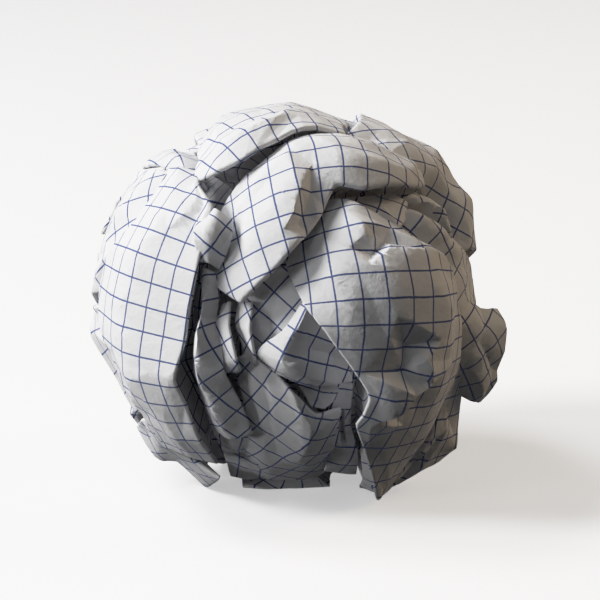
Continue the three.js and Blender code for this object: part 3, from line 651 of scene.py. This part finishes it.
def crease_heights(q, corners, triangles, heights):
    """Height at each place q of a sheet that is flat between the creases."""
    out = np.zeros(len(q))
    for triangle in triangles:
        a, b, c = corners[triangle]
        area = (b[0]-a[0]) * (c[1]-a[1]) - (c[0]-a[0]) * (b[1]-a[1])
        rel = q - a
        s = (rel[:, 0] * (c[1]-a[1]) - (c[0]-a[0]) * rel[:, 1]) / area
        t = ((b[0]-a[0]) * rel[:, 1] - rel[:, 0] * (b[1]-a[1])) / area
        inside = (s >= -1e-6) & (t >= -1e-6) & (s + t <= 1 + 1e-6)
        h = heights[triangle]
        out[inside] = h[0] + s[inside] * (h[1] - h[0]) + t[inside] * (h[2] - h[0])
    return out


def clipped(a, b, size):
    """The part of crease a-b that lies on the panel, or None."""
    low, high = 0.0, 1.0
    for k in (0, 1):
        step = b[k] - a[k]
        for bound, side in ((0, -1), (size[k], 1)):
            gap = (bound - a[k]) * side
            if abs(step) < 1e-9:
                if gap < 0:
                    return None
            elif step * side > 0:
                high = min(high, gap / (step * side))
            else:
                low = max(low, gap / (step * side))
    if high - low < 1e-6:
        return None
    return a + (b - a) * low, a + (b - a) * high


def line_points(a, b, gap):
    """Points about this far apart from a to b, both ends included."""
    count = max(1, round(np.linalg.norm(b - a) / gap))
    return [a + (b - a) * k / count for k in range(count + 1)]


def sides(triangles):
    """The three sides of each triangle, as pairs of point numbers in order round it."""
    return [(t[k], t[(k + 1) % 3]) for t in triangles.tolist() for k in range(3)]


def add_crease(a, b, size, points, edges):
    """Adds crease a-b to a panel's points and edges, with points beside it that keep it narrow."""
    line = line_points(a, b, CREASE_GAP)
    edges += [(len(points) + k, len(points) + k + 1) for k in range(len(line) - 1)]
    points += line
    beside = unit(b - a)[::-1] * (CREASE_ROUND, -CREASE_ROUND)
    for one, other in zip(line, line[1:]):
        for side in ((one + other) / 2 + beside, (one + other) / 2 - beside):
            if (side > 0.1).all() and (side < size - 0.1).all():
                points.append(side)


def spread_points(points, size, rng):
    """Points all over a panel, in nearly even triangles, where none of the given points is close."""
    taken = kdtree.KDTree(len(points))
    for k, point in enumerate(points):
        taken.insert((*point, 0), k)
    taken.balance()
    rows = max(2, round(size[0] / (POINT_GAP * 0.87)))
    columns = max(2, round(size[1] / POINT_GAP))
    spread = []
    for i in range(1, rows):
        for j in range(columns):
            q = np.array([size[0] * i / rows, size[1] * (j + 0.5 * (i % 2)) / columns])
            q += rng.uniform(-POINT_STRAY, POINT_STRAY, 2) * POINT_GAP
            clear = (q > RIM_CLEAR).all() and (q < size - RIM_CLEAR).all()
            if clear and taken.find((*q, 0))[2] > POINT_GAP * POINT_CLEAR:
                spread.append(q)
    return spread


def rim_of(triangles):
    """The points round the edge of a mesh, in order."""
    halves = set(sides(triangles))
    following = {i: j for i, j in halves if (j, i) not in halves}
    rim = [min(following)]
    while following[rim[-1]] != rim[0]:
        rim.append(following[rim[-1]])
    return np.array(rim)


def meshed(size, nets, rng):
    """A triangle mesh of a panel in q, each crease being a line of edges: its points, triangles and rim."""
    corners = [np.array(c) for c in ((0, 0), (0, size[1]), (size[0], size[1]), (size[0], 0))]
    points = []
    for a, b in zip(corners, corners[1:] + corners[:1]):
        points += line_points(a, b, RIM_GAP)[:-1]
    edges = [(k, (k + 1) % len(points)) for k in range(len(points))]
    for net_corners, triangles, _ in nets:
        for i, j in sorted({tuple(sorted(side)) for side in sides(triangles)}):
            piece = clipped(net_corners[i], net_corners[j], size)
            if piece is not None and np.linalg.norm(piece[1] - piece[0]) >= SHORTEST_CREASE:
                add_crease(*piece, size, points, edges)
    points += spread_points(points, size, rng)
    found = geometry.delaunay_2d_cdt([Vector(p) for p in points], edges, [], 0, 0.02)
    q = np.array([tuple(v) for v in found[0]])
    triangles = np.array([t for t in found[2] if len(t) == 3])
    centres = q[triangles].mean(1)
    triangles = triangles[((centres > 0) & (centres < size)).all(1)]
    a, b, c = q[triangles[:, 0]], q[triangles[:, 1]], q[triangles[:, 2]]
    area = (b[:, 0]-a[:, 0]) * (c[:, 1]-a[:, 1]) - (c[:, 0]-a[:, 0]) * (b[:, 1]-a[:, 1])
    triangles[area < 0] = triangles[area < 0][:, ::-1]
    return q, triangles, rim_of(triangles)


def rolled_under(panel, q, points, normal, sheet, lip):
    """Rings of points that take a panel's rim round its fold edge and into the ball, and their sheet."""
    inner = np.clip(q, np.minimum(1, panel.size / 2), np.maximum(panel.size - 1, panel.size / 2))
    away = panel.points(q) - panel.points(inner)
    away = unit(away - normal * (away * normal).sum(1, keepdims=True))
    sheet_away = unit(sheet - panel.sheet(inner))
    rings, ring_sheets = [], []
    for angle in map(math.radians, LIP_ANGLES):
        rings.append(points + lip * (away * math.sin(angle) + normal * (math.cos(angle) - 1)))
        ring_sheets.append(sheet + sheet_away * lip * angle)
    for inset, drop in ((RETURN_INSET, RETURN_DROP), (ROOT_INSET, ROOT_DROP)):
        share = np.minimum(WIDEST_INSET, inset / panel.size)
        ring = panel.points(panel.size * share + q * (1 - 2 * share))
        rings.append(ring * (1 - drop / np.linalg.norm(ring, axis=1, keepdims=True)))
        gone = np.linalg.norm(rings[-1] - rings[-2], axis=1, keepdims=True)
        ring_sheets.append(ring_sheets[-1] + sheet_away * gone)
    return rings, ring_sheets


def root_faces(rim, count, ring_count):
    """Faces from the rim down over the rings, which start at point count, to the one point after them."""
    loop = len(rim)
    faces = []
    above = rim
    for k in range(ring_count):
        below = count + k * loop + np.arange(loop)
        for i in range(loop):
            j = (i + 1) % loop
            faces.append([above[i], below[i], below[j]])
            faces.append([above[i], below[j], above[j]])
        above = below
    tip = count + ring_count * loop
    return faces + [[above[i], tip, above[(i + 1) % loop]] for i in range(loop)]


def panel_mesh(rows, look, lines, seed):
    """One panel as a closed solid: points in mm from the ball's middle, sheet coordinates and triangles."""
    grid_turn, crossing, crumple, lip = look
    rng = np.random.default_rng(seed)
    panel = Panel(rows, grid_turn, crossing)
    broad = BROAD_CREASES[1] * crumple * (QUIET if lines else 1)
    fine = FINE_CREASES[1] * crumple
    nets = [crease_net(panel, BROAD_CREASES[0], broad, lines, rng),
            crease_net(panel, FINE_CREASES[0], fine, [], rng)]
    corners, triangles, heights = nets[1]
    nets[1] = (corners, triangles, heights ** 3 / fine ** 2)
    q, triangles, rim = meshed(panel.size, nets, rng)
    q = np.clip(q, 0, panel.size)
    normals = panel.normals(q)
    lift = sum(crease_heights(q, *net) for net in nets)
    points = panel.points(q) + normals * lift[:, None]
    sheet = panel.sheet(q)
    rings, ring_sheets = rolled_under(panel, q[rim], points[rim], normals[rim], sheet[rim], lip)
    tip = unit(points.mean(0)) * APEX
    faces = triangles.tolist() + root_faces(rim, len(points), len(rings))
    points = np.concatenate([points, *rings, tip[None]])
    sheet = np.concatenate([sheet, *ring_sheets, ring_sheets[-1].mean(0)[None]])
    return points, sheet, np.array(faces)


def mesh_object(name, points, sheet, faces):
    """A mesh object from points in mm about the ball's middle, with the sheet coordinates as its UV map."""
    mesh = bpy.data.meshes.new(name)
    mesh.from_pydata((points * MM).tolist(), [], faces.tolist())
    corners = np.zeros(len(mesh.loops), np.int32)
    mesh.loops.foreach_get("vertex_index", corners)
    mesh.uv_layers.new(name="sheet").data.foreach_set("uv", sheet[corners].astype(np.float32).ravel())
    work = bmesh.new()
    work.from_mesh(mesh)
    if work.calc_volume(signed=True) < 0:
        bmesh.ops.reverse_faces(work, faces=work.faces)
    work.to_mesh(mesh)
    work.free()
    piece = bpy.data.objects.new(name, mesh)
    bpy.context.scene.collection.objects.link(piece)
    return piece


def core_object():
    """The pressed inner folds: a plain round ball, seen only at the bottom of the deepest crevices."""
    work = bmesh.new()
    bmesh.ops.create_icosphere(work, subdivisions=5, radius=CORE_RADIUS)
    points = np.array([tuple(v.co) for v in work.verts])
    faces = np.array([[v.index for v in f.verts] for f in work.faces])
    work.free()
    sheet = np.stack([np.arctan2(points[:, 0], -points[:, 1]) * CORE_RADIUS, points[:, 2]], 1)
    return mesh_object("core", points, sheet, faces)


def joined(pieces, name):
    """All pieces as one closed skin."""
    base = pieces[0]
    others = bpy.data.collections.new("others")
    bpy.context.scene.collection.children.link(others)
    for piece in pieces[1:]:
        others.objects.link(piece)
    union = base.modifiers.new("union", "BOOLEAN")
    union.operation = "UNION"
    union.operand_type = "COLLECTION"
    union.collection = others
    union.solver = "MANIFOLD"
    bpy.context.view_layer.objects.active = base
    bpy.ops.object.modifier_apply(modifier=union.name)
    for piece in pieces[1:]:
        bpy.data.objects.remove(piece)
    bpy.data.collections.remove(others)
    base.name = name
    return base


def resting_slab():
    """What lies below the resting surface, where the paper is pressed flat."""
    bpy.ops.mesh.primitive_cube_add(size=1, location=(0, 0, -MIDDLE_HEIGHT * MM - SLAB[2] / 2))
    slab = bpy.context.object
    slab.scale = SLAB
    return slab


def crevice_wedge(name, rows):
    """A crevice as the wedge that is cut out for it, sloping from the first lip to under the second."""
    points = []
    for one, other in rows:
        lips = [corner((*lip, CREVICE_TOP)) for lip in (one, other)]
        points += [*lips, unit(lips[1]) * CREVICE_BOTTOM]
    last = len(points) - 3
    faces = [[0, 2, 1], [last, last + 1, last + 2]]
    for a in range(0, last, 3):
        for k, following in ((0, 1), (1, 2), (2, 0)):
            faces += [[a + k, a + following, a + 3 + following], [a + k, a + 3 + following, a + 3 + k]]
    bare = np.full((len(points), 2), SQUARE / 2)
    return mesh_object(name, np.array(points), bare, np.array(faces))


def cut_by(piece, tool):
    cut = piece.modifiers.new("cut", "BOOLEAN")
    cut.operation = "DIFFERENCE"
    cut.object = tool
    cut.solver = "MANIFOLD"
    bpy.context.view_layer.objects.active = piece
    bpy.ops.object.modifier_apply(modifier=cut.name)
    bpy.data.objects.remove(tool)


def flat_places_first(piece):
    """Shades each flat place as flat right up to its creases, which stay narrow and rounded."""
    piece.data.shade_smooth()
    piece.data.set_sharp_from_angle(angle=math.radians(SHARP))
    weighted = piece.modifiers.new("weighted", "WEIGHTED_NORMAL")
    weighted.mode = "FACE_AREA"
    weighted.weight = 80
    weighted.keep_sharp = True
    bpy.context.view_layer.objects.active = piece
    bpy.ops.object.modifier_apply(modifier=weighted.name)


def outer_skin_only(piece):
    """Drops the small closed gaps that the joining leaves inside the ball."""
    work = bmesh.new()
    work.from_mesh(piece.data)
    reached = {max(work.verts, key=lambda vert: vert.co.z)}
    edge_of_reach = list(reached)
    while edge_of_reach:
        for edge in edge_of_reach.pop().link_edges:
            for vert in edge.verts:
                if vert not in reached:
                    reached.add(vert)
                    edge_of_reach.append(vert)
    bmesh.ops.delete(work, geom=[vert for vert in work.verts if vert not in reached], context="VERTS")
    work.to_mesh(piece.data)
    work.free()


def crumpled_sheet():
    pieces = [core_object()]
    for seed, (name, rows) in enumerate(PANELS.items()):
        corners = np.array([[corner(place) for place in row] for row in rows])
        pieces.append(mesh_object(name, *panel_mesh(corners, LOOKS[name], CREASES.get(name, []), seed)))
    for key, (name, flap) in enumerate(FLAPS.items(), 1):
        look = (FLAP_LOOK[0] + FLAP_GRID_STEP * key, *FLAP_LOOK[1:])
        pieces.append(mesh_object(name, *panel_mesh(flap_rows(flap, key), look, [], 100 + key)))
    piece = joined(pieces, "crumpled_paper")
    for name, rows in CREVICES.items():
        cut_by(piece, crevice_wedge(name, rows))
    cut_by(piece, resting_slab())
    outer_skin_only(piece)
    flat_places_first(piece)
    low, high = (np.array(c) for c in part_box(NODE))
    points = np.array([tuple(v.co) for v in piece.data.vertices])
    aside = (low + high) / 2 - (points.min(0) + points.max(0)) / 2
    shift = Vector((aside[0], aside[1], MIDDLE_HEIGHT * MM))
    piece.data.transform(Matrix.Translation(shift))
    return piece, shift


def node(tree, kind, inputs=None, **settings):
    made = tree.nodes.new("ShaderNode" + kind)
    for key, value in settings.items():
        setattr(made, key, value)
    for key, value in (inputs or {}).items():
        if isinstance(value, bpy.types.NodeSocket):
            tree.links.new(value, made.inputs[key])
        else:
            made.inputs[key].default_value = value
    return made


def noise(tree, where, fineness, low, high):
    """A value that wanders from low to high."""
    scale, detail = fineness
    waves = node(tree, "TexNoise", {"Vector": where, "Scale": scale, "Detail": detail, "Roughness": 0.6})
    spread = node(tree, "MapRange", {"Value": waves.outputs["Fac"], "From Min": 0.3, "From Max": 0.7,
                                     "To Min": low, "To Max": high})
    return spread.outputs["Result"]


def printed_lines(tree, sheet, tooth):
    """How much ink lies at each place: thin lines along the squares, broken a little by the paper's tooth."""
    axes = node(tree, "SeparateXYZ", {0: sheet})
    near = []
    for axis in (0, 1):
        gap = node(tree, "Math", {0: axes.outputs[axis], 1: SQUARE / 2}, operation="PINGPONG")
        near.append(gap.outputs[0])
    gap = node(tree, "Math", {0: near[0], 1: near[1]}, operation="MINIMUM")
    wander = noise(tree, sheet, EDGE_WANDER, -LINE_SOFT, LINE_SOFT)
    uneven = node(tree, "Math", {0: gap.outputs[0], 1: wander}, operation="ADD")
    line = node(tree, "MapRange", {"Value": uneven.outputs[0], "From Min": LINE_WIDTH / 2 - LINE_SOFT,
                                   "From Max": LINE_WIDTH / 2 + LINE_SOFT, "To Min": 1, "To Max": 0})
    ink = node(tree, "Math", {0: line.outputs["Result"], 1: tooth}, operation="MULTIPLY")
    return ink.outputs[0]


def paper_material():
    """Uncoated writing paper: a soft mottle, matted fibres, and the printed squares."""
    material = bpy.data.materials.new("squared_paper")
    material.use_nodes = True
    tree = material.node_tree
    shader = tree.nodes["Principled BSDF"]
    sheet = node(tree, "UVMap", uv_map="sheet").outputs[0]
    ink = printed_lines(tree, sheet, noise(tree, sheet, TOOTH, INK_THIN, 1))
    mottle = noise(tree, sheet, MOTTLE, 0, 1)
    paper = node(tree, "Mix", {"Factor": mottle, "A": PAPER_DARK, "B": PAPER_LIGHT}, data_type="RGBA")
    mix = node(tree, "Mix", {"Factor": ink, "A": paper.outputs["Result"], "B": INK}, data_type="RGBA")
    tree.links.new(mix.outputs["Result"], shader.inputs["Base Color"])
    tree.links.new(noise(tree, sheet, SHEEN, *MATT), shader.inputs["Roughness"])
    stretch = node(tree, "Mapping", {"Vector": sheet, "Scale": FIBRE_STRETCH})
    fibres = noise(tree, stretch.outputs[0], FIBRES, 0, 1)
    cockle = noise(tree, sheet, COCKLE, 0, 1)
    grain = node(tree, "Bump", {"Height": fibres, "Strength": BUMP, "Distance": FIBRE_HEIGHT * MM})
    waves = node(tree, "Bump", {"Height": cockle, "Strength": BUMP, "Distance": COCKLE_HEIGHT * MM,
                                "Normal": grain.outputs[0]})
    tree.links.new(waves.outputs[0], shader.inputs["Normal"])
    return material


def plain(name, colour, glow):
    material = bpy.data.materials.new(name)
    material.use_nodes = True
    shader = material.node_tree.nodes["Principled BSDF"]
    shader.inputs["Base Color"].default_value = (*colour, 1)
    shader.inputs["Emission Color"].default_value = (*colour, 1)
    shader.inputs["Emission Strength"].default_value = glow
    return material


def facing(thing, towards):
    thing.rotation_mode = "QUATERNION"
    thing.rotation_quaternion = Vector(towards).to_track_quat("-Z", "Y")


def direction(bearing, elevation):
    """The unit vector from the ball towards this bearing and elevation."""
    return Vector(corner((bearing, elevation, 1)))


def soft_light(name, towards, bearing, elevation, distance, size, power, colour):
    light = bpy.data.lights.new(name, "AREA")
    light.size = size
    light.energy = power
    light.color = colour
    lamp = bpy.data.objects.new(name, light)
    bpy.context.scene.collection.objects.link(lamp)
    lamp.location = towards + direction(bearing, elevation) * distance
    facing(lamp, towards - lamp.location)


def sky():
    """A faint light from above, fading to almost nothing from below."""
    world = bpy.data.worlds.new("studio")
    bpy.context.scene.world = world
    world.use_nodes = True
    tree = world.node_tree
    place = node(tree, "TexCoord")
    axes = node(tree, "SeparateXYZ", {0: place.outputs["Generated"]})
    fade = node(tree, "MapRange", {"Value": axes.outputs["Z"], "From Min": SKY_FADE[0],
                                   "From Max": SKY_FADE[1], "To Min": SKY_LOW, "To Max": SKY_HIGH})
    tree.links.new(fade.outputs["Result"], tree.nodes["Background"].inputs["Strength"])
    tree.nodes["Background"].inputs["Color"].default_value = SKY_COLOUR


def white_floor():
    bpy.ops.mesh.primitive_plane_add(size=6, location=(0, 0, 0))
    floor = bpy.context.object
    floor.name = "floor"
    floor.data.materials.append(plain("floor_white", FLOOR_WHITE, FLOOR_GLOW))
    floor.visible_diffuse = False


def front_camera(middle):
    """The camera in front of the ball and above its middle, looking down at it."""
    looking = -direction(0, CAMERA_ELEVATION)
    up = direction(0, CAMERA_ELEVATION + 90)
    camera = bpy.data.objects.new("camera", bpy.data.cameras.new("camera"))
    bpy.context.scene.collection.objects.link(camera)
    place = middle - looking * CAMERA_DISTANCE
    camera.location = place + Vector((CAMERA_ASIDE, 0, 0)) - up * CAMERA_LOWER
    facing(camera, looking)
    camera.data.sensor_width = SENSOR_WIDTH
    camera.data.lens = LENS
    camera.data.clip_start = 0.01
    bpy.context.scene.camera = camera


def held_back_highlights():
    """Shows bright light as a little less than it is, so that white paper keeps its shading."""
    settings = bpy.context.scene.view_settings
    settings.view_transform = "Standard"
    settings.use_curve_mapping = True
    shoulder = settings.curve_mapping
    shoulder.white_level = (HIGHEST_LIGHT,) * 3
    for light, shown in SHOULDER:
        shoulder.curves[3].points.new(light / HIGHEST_LIGHT, shown)
    shoulder.curves[3].points[-1].location = (1, 1)
    shoulder.update()


def studio(middle):
    """The floor, lights and camera round the ball's middle."""
    white_floor()
    sky()
    for name, lamp in LAMPS.items():
        soft_light(name, middle, *lamp)
    front_camera(middle)
    held_back_highlights()


ball, middle = crumpled_sheet()
ball.data.materials.clear()
ball.data.materials.append(paper_material())
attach(ball, "root")
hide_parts(NODE)
studio(middle)
